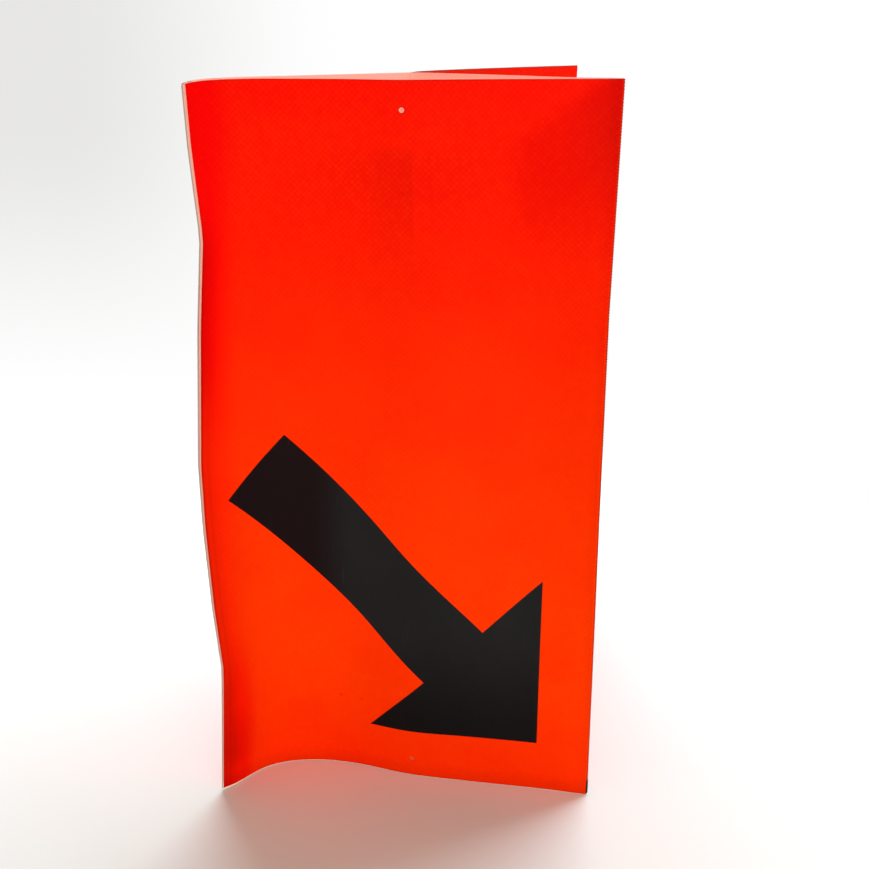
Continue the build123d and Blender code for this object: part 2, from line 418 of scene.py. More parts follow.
def between(table, height, run):
    """Values of a front table between its heights and runs."""
    row = np.clip(height / table_heights[1], 0, len(table_heights) - table_hold)
    column = np.clip(run / table_runs[1], 0, len(table_runs) - table_hold)
    low, first = row.astype(int), column.astype(int)
    up, on = (row - low)[:, None], (column - first)[:, None]
    under = table[low, first] * (1 - on) + table[low, first + 1] * on
    over = table[low + 1, first] * (1 - on) + table[low + 1, first + 1] * on
    return under * (1 - up) + over * up


def front_left(up):
    """Where the front's left edge lies on its flat sheet, at each height."""
    return panel_width - np.interp(up, table_heights, front_lengths)


def front_outline(margins, low, high, steps, peel=0.0):
    """Outline of a layer of the front, held back from its left cut edge."""
    up = even_steps(low, high, steps[1])
    left = front_left(up) + (left_edge_gap + np.interp(up, (0, panel_height), margins))
    return strip_outline(left, np.full(len(up), panel_width - fold_setback), up, steps[0], peel)


def unit(ways):
    """Rows of two numbers, each made one long."""
    return ways / np.hypot(ways[:, 0], ways[:, 1])[:, None]


def stand_along(piece, place, way):
    """Stands a flat sheet on edge at places in plan, and returns which way its outer face looks."""
    flat = mesh_places(piece.data)
    outwards = np.stack((way[:, 1], -way[:, 0]), axis=1)
    move_mesh(piece.data, np.column_stack((place + outwards * flat[:, 2:], flat[:, 1])))
    return outwards


def bend_front(piece):
    """Bends a flat sheet onto the front panel, measured across from the right fold."""
    flat = mesh_places(piece.data)
    run = panel_width - flat[:, 0]
    way = unit(between(front_tangents, flat[:, 1], run))
    stand_along(piece, between(front_places, flat[:, 1], run), way)


def mark_margins(piece):
    """Notes on a front layer its distances from left edge and right fold, and that it is the front."""
    flat = mesh_places(piece.data)
    margins = (flat[:, 0] - front_left(flat[:, 1]), panel_width - flat[:, 0], np.ones(len(flat)))
    mark(piece, "front_margins", np.column_stack(margins))


def bend_right_fold(piece, width):
    """Bends a flat strip round the right fold, from the front's end to the right panel's start."""
    flat = mesh_places(piece.data)
    share = flat[:, :1] / width
    setback = np.full(len(flat), fold_setback)
    start = between(front_places, flat[:, 1], setback)
    start_way = unit(between(front_tangents, flat[:, 1], setback))
    end_way = np.array((cos(right_start_heading), sin(right_start_heading)))
    end = np.array((right_axis.x, right_axis.y)) + end_way * fold_setback
    pull = fold_roundness * np.hypot(*(end - start).T)[:, None]
    place = curve_between(start, end, start_way * pull, end_way * pull, share)
    way = (end - start) * 6 * share * (1 - share) + start_way * pull * (1 - share) * (1 - 3 * share)
    way = unit(way + end_way * pull * share * (3 * share - 2))
    # Painted shade on the fold's film towards the crease
    mark_fold_shade(piece, [part * width for part in fold_shade_shares], (0, 1))
    outwards = stand_along(piece, place, way)
    ridged = outwards * (4 * share * (1 - share) * (flat[:, 2:] > ridge_base))
    nothing = np.zeros(len(flat))
    mark(piece, "ridged", np.column_stack((ridged, nothing)))
    mark(piece, "front_margins", np.column_stack((nothing + panel_width, nothing, 1 - share)))


# How the standing pieces have settled

def near(distance, spread):
    """1 at no distance, and less further away."""
    return np.exp(-((distance / spread) ** 2))


def settle(piece):
    """Moves a standing piece as the sign has settled: wavering edges, a drooped corner and a raised foot."""
    places = mesh_places(piece.data)
    height = np.clip(places[:, 2], 0, panel_height)
    from_left = np.hypot(places[:, 0] - left_axis.x, places[:, 1] - left_axis.y)
    from_right = np.hypot(places[:, 0] - right_axis.x, places[:, 1] - right_axis.y)
    left_move = np.interp(height, left_waver_heights, left_waver)
    right_move = np.interp(height, right_waver_heights, right_waver)
    top_move = np.interp(places[:, 0], top_waver_places, top_waver)
    near_right = near(from_right, waver_spread)
    near_front = near(np.maximum(places[:, 1] - fold_line_y, 0), top_waver_depth)
    near_corner = np.exp(-from_left / corner_spread)
    near_top = np.exp((height - panel_height) / corner_height)
    near_foot = np.exp(-height / corner_height)
    foot_rise = foot_lift * near_corner + foot_lift_wide * np.exp(-from_left / foot_lift_reach)
    places[:, 0] += left_move * near(from_left, waver_spread)
    places[:, 0] += right_move * near_right
    places[:, 1] -= right_foot_forward * near_right * (1 - height / panel_height)
    places[:, 2] += top_move * near_front * np.exp((height - panel_height) / top_waver_height)
    places[:, 2] -= corner_droop * near_corner * near_top
    places[:, 2] += foot_rise * near_foot
    move_mesh(piece.data, places)


def close_over(piece):
    """Sets the closing panel's free end as the wavering corner that it closes over has shaped it."""
    places = mesh_places(piece.data)
    ahead = np.array((cos(closing_heading), sin(closing_heading)))
    run = (places[:, :2] - np.array((rear_axis.x, rear_axis.y))) @ ahead
    corner_run = hypot(left_axis.x - rear_axis.x, left_axis.y - rear_axis.y)
    corner_move = -np.interp(places[:, 2], left_waver_heights, left_waver) * sin(left_heading)
    outwards = np.maximum(corner_move - closing_slack, 0) * near(run - corner_run, waver_spread)
    places[:, 0] += outwards * sin(closing_heading)
    places[:, 1] -= outwards * cos(closing_heading)
    move_mesh(piece.data, places)


# Values in node trees

class NodeValue:
    """What flows from a node's output, with plain arithmetic."""

    def __init__(self, socket):
        self.socket = socket
        self.tree = socket.id_data

    __add__ = __radd__ = lambda self, other: maths("ADD", self, other)
    __mul__ = __rmul__ = lambda self, other: maths("MULTIPLY", self, other)
    __sub__ = lambda self, other: maths("SUBTRACT", self, other)
    __rsub__ = lambda self, other: maths("SUBTRACT", other, self)
    __truediv__ = lambda self, other: maths("DIVIDE", self, other)
    __rtruediv__ = lambda self, other: maths("DIVIDE", other, self)


def put(socket, value):
    """Links a value that flows from a node, or sets a plain one."""
    if isinstance(value, NodeValue):
        value.tree.links.new(value.socket, socket)
    else:
        socket.default_value = value


def add_node(tree, kind, output=0, inputs=None, **settings):
    """Adds a node with its settings and inputs, and returns what flows from one of its outputs."""
    node = tree.nodes.new(kind)
    for name, value in settings.items():
        setattr(node, name, value)
    for key, value in (inputs or {}).items():
        put(node.inputs[key], value)
    return NodeValue(node.outputs[output])


def maths(operation, *values):
    """One step of arithmetic, in the tree of the values that flow."""
    tree = next(value.tree for value in values if isinstance(value, NodeValue))
    return add_node(tree, "ShaderNodeMath", 0, dict(enumerate(values)), operation=operation)


def smooth_range(value, none, full):
    """0 on the side of none, 1 on the side of full, and smooth between them."""
    inputs = {"Value": value, "From Min": none, "From Max": full}
    return add_node(value.tree, "ShaderNodeMapRange", "Result", inputs, interpolation_type="SMOOTHSTEP")


def parts(vector):
    """The three numbers of a vector."""
    node = vector.tree.nodes.new("ShaderNodeSeparateXYZ")
    put(node.inputs[0], vector)
    return [NodeValue(socket) for socket in node.outputs]


def new_group(name, kind, inputs, outputs, output_kind):
    """A node group with named sockets; returns the group, its inputs by name and its output sockets."""
    group = bpy.data.node_groups.new(name, kind)
    for label, input_kind, value in inputs:
        socket = group.interface.new_socket(label, in_out="INPUT", socket_type="NodeSocket" + input_kind)
        if value is not None:
            socket.default_value = value
    for label in outputs:
        group.interface.new_socket(label, in_out="OUTPUT", socket_type="NodeSocket" + output_kind)
    sockets = group.nodes.new("NodeGroupInput").outputs
    given = {socket.name: NodeValue(socket) for socket in sockets if socket.name}
    return group, given, group.nodes.new("NodeGroupOutput").inputs


# Node trees that stand and bend the other flat sheets

def start_tree(name, labels):
    """A geometry tree with named number inputs; returns its inputs by name, its output and the flat place."""
    numbers = [(label, "Float", None) for label in labels]
    inputs = [("Flat Sheet", "Geometry", None), *numbers, ("Finish", "Material", None)]
    tree, given, result = new_group(name, "GeometryNodeTree", inputs, ["Standing Sheet"], "Geometry")
    return given, result[0], parts(add_node(tree, "GeometryNodeInputPosition"))


def end_tree(given, result, *standing):
    """Moves the flat sheet to its standing place, realizes it and gives it its finish; returns the tree."""
    tree = result.id_data
    place = add_node(tree, "ShaderNodeCombineXYZ", 0, dict(enumerate(standing)))
    sheet = {"Geometry": given["Flat Sheet"], "Position": place}
    moved = add_node(tree, "GeometryNodeSetPosition", 0, sheet)
    real = add_node(tree, "GeometryNodeRealizeInstances", 0, {"Geometry": moved})
    finished = {"Geometry": real, "Material": given["Finish"]}
    put(result, add_node(tree, "GeometryNodeSetMaterial", 0, finished))
    return tree


def standing_panel_tree():
    """Stands a flat sheet on edge along a heading from its fold, bowed outwards between its two ends."""
    labels = ("Fold X", "Fold Y", "Heading", "Width", "Bow", "Free Corner Lift", "Height")
    given, result, (across, up, outwards) = start_tree("standing_panel", labels)
    share = across / given["Width"]
    steepest = given["Bow"] * 4.0 / given["Width"]
    rise = steepest * across * (1.0 - share)
    tilt = maths("ARCTANGENT", steepest * (1.0 - share * 2.0))
    along = across - outwards * maths("SINE", tilt)
    out = rise + outwards * maths("COSINE", tilt)
    ahead = maths("COSINE", given["Heading"])
    aside = maths("SINE", given["Heading"])
    x = given["Fold X"] + along * ahead + out * aside
    y = given["Fold Y"] + along * aside - out * ahead
    lift = given["Free Corner Lift"] * maths("SQRT", maths("MAXIMUM", share, 0.0))
    return end_tree(given, result, x, y, lift * (up / given["Height"]) + up)


def round_fold_tree():
    """Bends a flat strip round an upright axis, with its inner face at the axis."""
    labels = ("Centre X", "Centre Y", "First Angle", "Turn", "Strip Width")
    given, result, (across, up, outwards) = start_tree("round_fold", labels)
    angle = across / given["Strip Width"] * given["Turn"] + given["First Angle"]
    x = outwards * maths("COSINE", angle) + given["Centre X"]
    y = outwards * maths("SINE", angle) + given["Centre Y"]
    return end_tree(given, result, x, y, up)


def fold_ridges_tree():
    """Raises small ridges, one above another, up the outer face of a bent fold."""
    given, result, (x, y, z) = start_tree("fold_ridges", ("Ridge Pitch", "Ridge Height"))
    wave = maths("SINE", z / given["Ridge Pitch"] * pi)
    ridge = maths("ABSOLUTE", wave) * given["Ridge Height"]
    kind = "GeometryNodeInputNamedAttribute"
    ridged = add_node(z.tree, kind, "Attribute", {"Name": "ridged"}, data_type="FLOAT_VECTOR")
    out_x, out_y, _ = parts(ridged)
    return end_tree(given, result, out_x * ridge + x, out_y * ridge + y, z)


def shape_by_nodes(piece, tree, finish, **settings):
    """Runs a node tree on a flat sheet and keeps the result as a plain mesh."""
    modifier = piece.modifiers.new("shape", "NODES")
    modifier.node_group = tree
    wanted = {name.replace("_", " ").title(): value for name, value in settings.items()}
    wanted["Finish"] = finish
    for item in tree.interface.items_tree:
        if item.item_type == "SOCKET" and item.in_out == "INPUT" and item.name in wanted:
            modifier[item.identifier] = wanted[item.name]
    shaped = bpy.data.meshes.new_from_object(piece.evaluated_get(bpy.context.evaluated_depsgraph_get()))
    piece.modifiers.remove(modifier)
    flat = piece.data
    piece.data = shaped
    bpy.data.meshes.remove(flat)
    shaped.name = piece.name


# Shared surface effects

prism_cell = 0.0033
prism_line = 0.16
grain_size = 0.0008
scratch_size = 0.05
scratch_turn = (0.0, 0.0, radians(24))
scratch_stretch = (26.0, 1.0, 1.0)
scratch_range = (0.70, 0.76)
patch_scale = 14.0
noise_details = {"grain": 3.0, "patches": 4.0, "scratches": 2.0}


def shader_group(name, sizes, outputs):
    """A shader group that works on a place with named sizes, and gives named numbers."""
    inputs = [("Place", "Vector", None), *((label, "Float", size) for label, size in sizes.items())]
    return new_group(name, "ShaderNodeTree", inputs, outputs, "Float")


def prism_cells_group():
    """Square prism cells turned 45 degrees: the seal lines between them, and a tone for each cell."""
    sizes = {"Cell": prism_cell, "Line": prism_line}
    group, given, result = shader_group("prism_cells", sizes, ("Lines", "Tone"))
    across, up, _ = parts(given["Place"])
    reach = given["Cell"] * sqrt(2)
    lines = []
    cells = []
    for ramp in ((across + up) / reach, (across - up) / reach):
        from_middle = maths("ABSOLUTE", maths("FRACT", ramp) - 0.5)
        lines.append(smooth_range(from_middle, 0.5 - given["Line"], 0.5))
        cells.append(maths("FLOOR", ramp))
    cell = add_node(group, "ShaderNodeCombineXYZ", 0, dict(enumerate(cells)))
    tone = add_node(group, "ShaderNodeTexWhiteNoise", "Value", {"Vector": cell}, noise_dimensions="2D")
    put(result["Lines"], maths("MAXIMUM", *lines))
    put(result["Tone"], tone)
    return group


def handling_group():
    """Marks of handling: a fine grain, broad uneven patches and a few thin scratches."""
    sizes = {"Grain Size": grain_size, "Scratch Size": scratch_size}
    group, given, result = shader_group("handling", sizes, ("Grain", "Patches", "Scratches"))
    place = given["Place"]
    stretch = {"Vector": place, "Rotation": scratch_turn, "Scale": scratch_stretch}
    stretched = add_node(group, "ShaderNodeMapping", 0, stretch)

    def noise(name, vector, scale):
        inputs = {"Vector": vector, "Scale": scale, "Detail": noise_details[name]}
        return add_node(group, "ShaderNodeTexNoise", "Fac", inputs)

    put(result["Grain"], noise("grain", place, 1.0 / given["Grain Size"]))
    put(result["Patches"], noise("patches", place, patch_scale))
    scratches = noise("scratches", stretched, 1.0 / given["Scratch Size"])
    put(result["Scratches"], smooth_range(scratches, *scratch_range))
    return group


prism_cells = prism_cells_group()
handling = handling_group()

# Colours of the finishes, and how strongly film and core glow; both glows are painted light
# Film colour by height: lighter and more orange low down, partly painted light that brightens the foot
film_low_colour = (0.97, 0.043, 0.0)
film_high_colour = (0.91, 0.0122, 0.0)
film_line_colour = (0.845, 0.0004, 0.0)
film_uneven_colour = (0.97, 0.45, 0.6)
# Painted shade of the front's film, redder then darker; the scuffs use them too
film_shade_and_scuff_red = (0.98, 0.04, 0.2)
film_shade_and_scuff_dark = (0.45, 0.38, 0.38)
# Painted shade of the film towards the folds
film_fold_shade_colour = (0.44, 0.028, 0.004)
# Painted glow of the film, standing for its fluorescence
film_glow = 0.06
core_colour = (0.95, 0.52, 0.44)
core_patch_tint = (0.95, 0.85, 0.82)
# Painted glow of the core's inner faces, standing for light through the sheet: bright high up, deep red low
# down
core_glow_colour = (1.0, 0.36, 0.27)
core_glow = 0.30
core_deep_glow_colour = (0.30, 0.035, 0.015)
core_cut_colour = (0.85, 0.38, 0.31)
# Paler cut edges at the foot: painted light, where light reaches under the sheet
core_foot_colour = (0.98, 0.80, 0.74)
# Grey-brown cut edges of the left panel's core: painted shade
core_edge_shade_colour = (0.19, 0.14, 0.13)
# Dark red cut edges of the closing panel's core
closing_cut_colour = (0.22, 0.05, 0.03)
# Red tint round the front core's lower hole: painted light, as if lit through the film
core_hole_colour = (1.0, 0.12, 0.035)
# Rear fold's core, down in the crease: painted shade
crease_shade_colour = (0.50, 0.20, 0.14)
tape_colour = (0.50, 0.41, 0.38)
tape_thread_colour = (0.44, 0.34, 0.31)
black_colour = (0.0095, 0.0093, 0.0100)
black_worn_colour = (0.019, 0.0185, 0.020)
# Painted light on the black film: darker, redder tail and darker foot
black_tail_colour = (0.0070, 0.0014, 0.0017)
black_foot_colour = (0.0050, 0.0047, 0.0050)
black_scratch_colour = (0.05, 0.046, 0.046)
label_colour = (0.006, 0.005, 0.005)
label_worn_colour = (0.012, 0.010, 0.010)
no_colour = (0.0, 0.0, 0.0)
white_colour = (1.0, 1.0, 1.0)

# Heights, or places across, between which a finish changes
film_colour_rise = (0.12, 0.55)
film_clear_rise = (0.36, 0.54)
black_tail_range = (0.080, 0.122)
black_foot_range = (0.05, 0.15)
core_foot_range = (0.003, 0.012)
core_glow_rise = (0.05, 0.55)

# Marks in each finish; the film's cells and lines have a share at the foot and a gain upwards
film_cell_shares = (0.12, 0.28)
film_line_shares = (0.20, 0.55)
film_uneven_share = 0.30
film_uneven_range = (0.40, 0.70)
film_scratch_wear = 0.75
black_worn_share = 0.5
black_scratch_share = 0.15
core_patch_share = 0.3
core_grain_size = 0.0006
label_grain_size = 0.0005
tape_thread_share = 0.4
tape_thread_scale = 320.0
tape_thread_waver = 0.4

# Sheen of each finish: least roughness, how far it varies, specular level, height and strength of the relief
film_sheen = (0.34, 0.16, 0.01, 0.00005, 0.6)
black_sheen = (0.30, 0.20, 0.06, 0.00004, 0.4)
core_sheen = (0.48, 0.16, 0.25, 0.00004, 0.5)
label_sheen = (0.50, 0.20, 0.08, 0.00003, 0.4)
tape_sheen = (0.35, 0.20, 0.50, 0.00004, 0.5)

# Painted shade on the front's film: a share, then its fades, each over a measure of the place from none to
# full
foot_fade = ("up", 0.16, 0.05)
edge_shift = ((-0.008, ("up", 0.48, 0.58)), (-0.013, foot_fade))
red_edge_fade = ("past_edge", 0.036, 0.008)
red_edge = ((0.55,), (0.41, ("up", 0.31, 0.40)), (0.28, foot_fade))
red_ends = ((0.35, ("up", 0.555, panel_height)), (0.30, ("up", 0.10, 0.0)))
dark_edge_fade = ("from_left", 0.019, 0.003)
dark_edge = ((0.28,), (0.13, ("up", 0.33, 0.38)), (-0.35, ("up", 0.465, 0.51)), (0.10, foot_fade))
corner_slant = 1.3
corner_reach = 0.060
corner_fades = (("past_corner", 0.030, 0.0), ("up", 0.45, 0.53))
corner_red = 0.35
corner_dark = ((0.18,), (0.26, ("from_right", 0.045, 0.0), ("up", 0.50, 0.57)))
rim_line = 0.0016
rim_fade = ("from_middle", panel_height / 2 - rim_line, panel_height / 2 - 0.4 * rim_line)
dark_parts = {
    "cut edge": (0.35, ("past_film", 0.0013, 0.0003)),
    "edge line": (0.40, ("past_film", 0.0023, 0.0), ("up", 0.08, 0.18), ("up", 0.54, 0.46)),
    "foot corner": (0.12, ("from_left", 0.040, 0.010), ("up", 0.09, 0.03)),
    "foot band": (0.17, ("from_left", 0.024, 0.008), ("up", 0.012, 0.035), ("up", 0.135, 0.095)),
    "low band": (0.17, ("from_left", 0.050, 0.018), ("from_left", 0.006, 0.014),
                 ("up", 0.012, 0.030), ("up", 0.080, 0.045)),
    "tape line": (0.12, ("from_left", 0.006, 0.007), ("from_left", 0.009, 0.007), ("up", 0.40, 0.25)),
    # Painted shadow of the rear panels' edges, seen through the sheet
    "see-through shadow's bar": (0.07, ("across", 0.080, 0.130), ("across", 0.250, 0.215),
                    ("up", 0.500, 0.520), ("up", 0.552, 0.538)),
    "see-through shadow's stem": (0.11, ("across", 0.130, 0.163), ("across", 0.1785, 0.1755),
                     ("up", 0.440, 0.510), ("up", 0.553, 0.548)),
    "right fold": (0.15, ("from_right", 0.014, 0.0)),
    "foot": (0.27, ("up", 0.018, 0.0)),
    "rims": (0.45, rim_fade),
}

# Painted dark rims round the front's holes, and its scuffs: place, half length and half width, and slant
hole_line = (film_hole_radius + 0.0009, film_hole_radius + 0.00027)
hole_line_depths = (0.25, 0.7)
scuffs = (
    ((0.106, 0.070), (0.0012, 0.0019), 0.0),
    ((0.125, 0.068), (0.0034, 0.0010), 1.0),
    ((0.169, 0.517), (0.0018, 0.0010), -0.6),
)
scuff_dark = 0.30
scuff_red = 0.60


# Finishes

def new_finish(name):
    """A material with its shader; returns the material, its tree, the shader's inputs and the flat map."""
    material = bpy.data.materials.new(name)
    material.use_nodes = True
    tree = material.node_tree
    place = add_node(tree, "ShaderNodeUVMap", uv_map="sheet")
    return material, tree, tree.nodes["Principled BSDF"].inputs, place


def use_group(group, place, **settings):
    """Places a shared effect in a finish with its own values, and returns what it gives by name."""
    node = place.tree.nodes.new("ShaderNodeGroup")
    node.node_tree = group
    put(node.inputs["Place"], place)
    for name, value in settings.items():
        put(node.inputs[name.replace("_", " ").title()], value)
    return {socket.name: NodeValue(socket) for socket in node.outputs}


def noted(tree, name, output="Fac"):
    """What is noted on the mesh under a name."""
    return add_node(tree, "ShaderNodeAttribute", output, attribute_name=name)


def standing_height(tree):
    """Height above the ground."""
    return parts(add_node(tree, "ShaderNodeTexCoord", "Object"))[2]


def distance(place, point):
    """How far a place on the flat sheet is from a point."""
    inputs = {0: place, 1: (*point, 0.0)}
    return add_node(place.tree, "ShaderNodeVectorMath", "Value", inputs, operation="DISTANCE")


def mixed(share, first, second, blend="MIX"):
    """Two colours mixed by a share."""
    first, second = [(*colour, 1.0) if isinstance(colour, tuple) else colour for colour in (first, second)]
    inputs = {"Factor": share, 6: first, 7: second}
    return add_node(share.tree, "ShaderNodeMix", 2, inputs, data_type="RGBA", blend_type=blend)


def give_sheen(shader, sheen, wear, relief):
    """Sets a finish's roughness, which varies with its wear, its specular level and its relief."""
    least, spread, specular, height, strength = sheen
    put(shader["Roughness"], wear * spread + least)
    put(shader["Specular IOR Level"], specular)
    inputs = {"Strength": strength, "Distance": height, "Height": relief}
    put(shader["Normal"], add_node(relief.tree, "ShaderNodeBump", 0, inputs))


def faded(measures, fades):
    """How far a place lies inside all of the fades, from 0 to 1."""
    total = 1.0
    for measure, none, full in fades:
        total = total * smooth_range(measures[measure], none, full)
    return total


def summed(measures, shades):
    """The sum of the shares of some shades, each one limited by its fades."""
    return sum(share * faded(measures, fades) for share, *fades in shades)


def front_shade_and_scuffs(tree, place):
    """Where the front's film looks redder and where darker: painted shade at edges, holes and top right
    corner, the rear panels' painted shadow through it, and real scuffs.
    """
    from_left, from_right, front = parts(noted(tree, "front_margins", "Vector"))
    across, up, _ = parts(place)
    film_slope = (film_left_margins[1] - film_left_margins[0]) / panel_height
    measures = {"across": across, "up": up, "from_left": from_left, "from_right": from_right}
    measures["from_middle"] = maths("ABSOLUTE", up - panel_height / 2)
    measures["past_film"] = from_left - up * film_slope - (left_edge_gap + film_left_margins[0])
    measures["past_edge"] = from_left + summed(measures, edge_shift)
    corner_end = maths("MINIMUM", (panel_height - up) * corner_slant, corner_reach)
    measures["past_corner"] = from_right - corner_end
    corner = faded(measures, corner_fades)
    redder = faded(measures, [red_edge_fade]) * summed(measures, red_edge)
    redder = maths("MAXIMUM", redder, summed(measures, red_ends) + corner * corner_red)
    darker = faded(measures, [dark_edge_fade]) * summed(measures, dark_edge)
    darker += summed(measures, dark_parts.values())
    darker += corner * summed(measures, corner_dark)
    # Painted shade round the holes
    for hole, depth in zip(front_holes, hole_line_depths):
        darker += smooth_range(distance(place, hole), *hole_line) * depth
    for (x, y), (half_length, half_width), slant in scuffs:
        aside = across - x
        above = up - y
        long_way = (aside + above * slant) / half_length
        short_way = (above - aside * slant) / half_width
        scuffed = smooth_range(long_way * long_way + short_way * short_way, 1.0, 0.0)
        darker += scuffed * scuff_dark
        redder = maths("MAXIMUM", redder, scuffed * scuff_red)
    return [maths("MINIMUM", shade, 1.0) * front for shade in (redder, darker)]


def orange_film_finish():
    """Fluorescent red-orange film over prism cells, which show more clearly higher up; partly painted light
    makes it lighter low down, and it takes painted shade and a painted glow.
    """
    material, tree, shader, place = new_finish("orange_film")
    cells = use_group(prism_cells, place)
    marks = use_group(handling, place)
    height = standing_height(tree)
    # Lighter, more orange colour low down: partly painted light
    colour = mixed(smooth_range(height, *film_colour_rise), film_low_colour, film_high_colour)
    clearness = smooth_range(height, *film_clear_rise)
    for name, (least, gain) in (("Tone", film_cell_shares), ("Lines", film_line_shares)):
        colour = mixed(cells[name] * (clearness * gain + least), colour, film_line_colour)
    uneven = smooth_range(marks["Patches"], *film_uneven_range) * film_uneven_share
    colour = mixed(uneven, colour, film_uneven_colour, "MULTIPLY")
    # Painted shade on the front's film, with its real scuffs
    redder, darker = front_shade_and_scuffs(tree, place)
    colour = mixed(redder, colour, film_shade_and_scuff_red, "MULTIPLY")
    colour = mixed(darker, colour, film_shade_and_scuff_dark, "MULTIPLY")
    # Painted shade towards the folds
    colour = mixed(noted(tree, "scored"), colour, film_fold_shade_colour)
    put(shader["Base Color"], colour)
    put(shader["Emission Color"], colour)
    put(shader["Emission Strength"], film_glow)
    wear = marks["Patches"] + marks["Scratches"] * film_scratch_wear
    give_sheen(shader, film_sheen, wear, 1.0 - cells["Lines"])
    return material


def black_film_finish():
    """Black film laid over the prism cells, which show through a little; painted light leaves its tail darker
    and redder and its foot darker.
    """
    material, _, shader, place = new_finish("black_film")
    cells = use_group(prism_cells, place)
    marks = use_group(handling, place)
    across, up, _ = parts(place)
    colour = mixed(marks["Patches"] * black_worn_share, black_colour, black_worn_colour)
    # Painted light: darker, redder tail and darker foot
    colour = mixed(smooth_range(across, *black_tail_range), black_tail_colour, colour)
    colour = mixed(smooth_range(up, *black_foot_range), black_foot_colour, colour)
    colour = mixed(marks["Scratches"] * black_scratch_share, colour, black_scratch_colour)
    put(shader["Base Color"], colour)
    give_sheen(shader, black_sheen, marks["Patches"], 1.0 - cells["Lines"])
    return material


def sheet_core_finish(name, colour, cut_colour, red_holes=()):
    """Satin pale sheet with duller cut edges; painted light makes them paler at the foot, a painted glow
    stronger at the top stands for the orange showing through, and red rings the holes given.
    """
    material, tree, shader, place = new_finish(name)
    marks = use_group(handling, place, grain_size=core_grain_size)
    deeper = tuple(part * tint for part, tint in zip(colour, core_patch_tint))
    face = mixed(marks["Patches"] * core_patch_share, colour, deeper)
    cut = noted(tree, "cut_edge")
    height = standing_height(tree)
    # Cut edges paler at the foot: painted light
    edge = mixed(smooth_range(height, *core_foot_range), core_foot_colour, cut_colour)
    surface = mixed(cut, face, edge)
    # Painted red light round the holes given
    for hole in red_holes:
        clear = smooth_range(distance(place, hole), film_hole_radius, 2 * film_hole_radius)
        surface = mixed(clear, core_hole_colour, surface)
    put(shader["Base Color"], surface)
    # Painted glow for light through the sheet, on the inner faces only
    glow = mixed(smooth_range(height, *core_glow_rise), core_deep_glow_colour, core_glow_colour)
    put(shader["Emission Color"], mixed(cut, glow, no_colour))
    put(shader["Emission Strength"], core_glow)
    give_sheen(shader, core_sheen, marks["Grain"], marks["Grain"])
    return material


def label_finish():
    """Plain matte black label."""
    material, _, shader, place = new_finish("label_black")
    marks = use_group(handling, place, grain_size=label_grain_size)
    put(shader["Base Color"], mixed(marks["Grain"], label_colour, label_worn_colour))
    give_sheen(shader, label_sheen, marks["Patches"], marks["Grain"])
    return material


def hinge_tape_finish():
    """Pale tape with fine threads along it."""
    material, tree, shader, place = new_finish("hinge_tape")
    marks = use_group(handling, place)
    inputs = {"Vector": place, "Scale": tape_thread_scale, "Distortion": tape_thread_waver}
    threads = add_node(tree, "ShaderNodeTexWave", "Fac", inputs, wave_type="BANDS", bands_direction="X")
    put(shader["Base Color"], mixed(threads * tape_thread_share, tape_colour, tape_thread_colour))
    give_sheen(shader, tape_sheen, marks["Patches"], threads)
    return material


orange_film = orange_film_finish()
black_film = black_film_finish()
sheet_core = sheet_core_finish("sheet_core", core_colour, core_cut_colour)
front_core = sheet_core_finish("front_core", core_colour, core_cut_colour, front_holes[:1])
# Left panel's core, its cut edges darkened as painted shade
dusty_core = sheet_core_finish("dusty_core", core_colour, core_edge_shade_colour)
stained_core = sheet_core_finish("stained_core", core_colour, closing_cut_colour)
# The crease's core in painted shade
creased_core = sheet_core_finish("creased_core", crease_shade_colour, crease_shade_colour)
label_black = label_finish()
hinge_tape = hinge_tape_finish()

# Pieces

edge_angle = radians(35)


def complete(piece, node):
    """Smooths a finished piece and hides the solids that it stands for."""
    piece.data.shade_smooth()
    piece.data.set_sharp_from_angle(angle=edge_angle)
    for name in (node,) if isinstance(node, str) else node:
        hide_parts(name)
    return piece


# Front panel
front_steps = (front_step, 2 * front_step)
arrow_steps = (front_step, front_step)
core_outline = front_outline(core_left_margins, 0.0, panel_height, front_steps)
film_outline = front_outline(film_left_margins, film_low, film_high, front_steps, film_foot_peel)
front_arrow = arrow_outline(front_step)
for name, outline, band, steps, finish, slot, *cut_holes in (
    ("front_core", core_outline, core_band, front_steps, front_core, "sheet_core",
     front_holes, core_hole_radius),
    ("front_film", film_outline, film_band, front_steps, orange_film, "orange_film",
     front_holes, film_hole_radius),
    ("front_arrow", front_arrow, print_band, arrow_steps, black_film, "black_film"),
):
    piece = flat_sheet(name + "_sheet", outline, band, steps, *cut_holes)
    mark_margins(piece)
    bend_front(piece)
    piece.data.materials.append(finish)
    settle(piece)
    complete(piece, name)
    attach(piece, "front")

# Where each rear panel stands
left_inward = Vector((sin(left_heading), -cos(left_heading)))
left_middle = Vector((left_axis.x, left_axis.y)) - left_inward * half_sheet
straight = dict(width=panel_width, height=panel_height, bow=0.0, free_corner_lift=0.0)
panel_stands = {
    "right": dict(straight, fold_x=right_axis.x, fold_y=right_axis.y, heading=right_heading, bow=right_bow),
    "closing": dict(straight, fold_x=rear_axis.x, fold_y=rear_axis.y, heading=closing_heading,
                    width=closing_run, free_corner_lift=closing_corner_lift),
    "left": dict(straight, fold_x=left_middle.x, fold_y=left_middle.y, heading=left_heading + pi),
}
standing_panel = standing_panel_tree()
panel_steps = (panel_step, 2 * panel_step)
# Painted shade on the films: none on most panels, darkest at the rear fold on the closing panel
no_fold_shade = ((0.0, panel_width), (0.0, 0.0))
closing_fold_shade = ((0.0, 0.08, 0.18), (0.60, 0.25, 0.0))
rear_arrow = arrow_outline(panel_step)


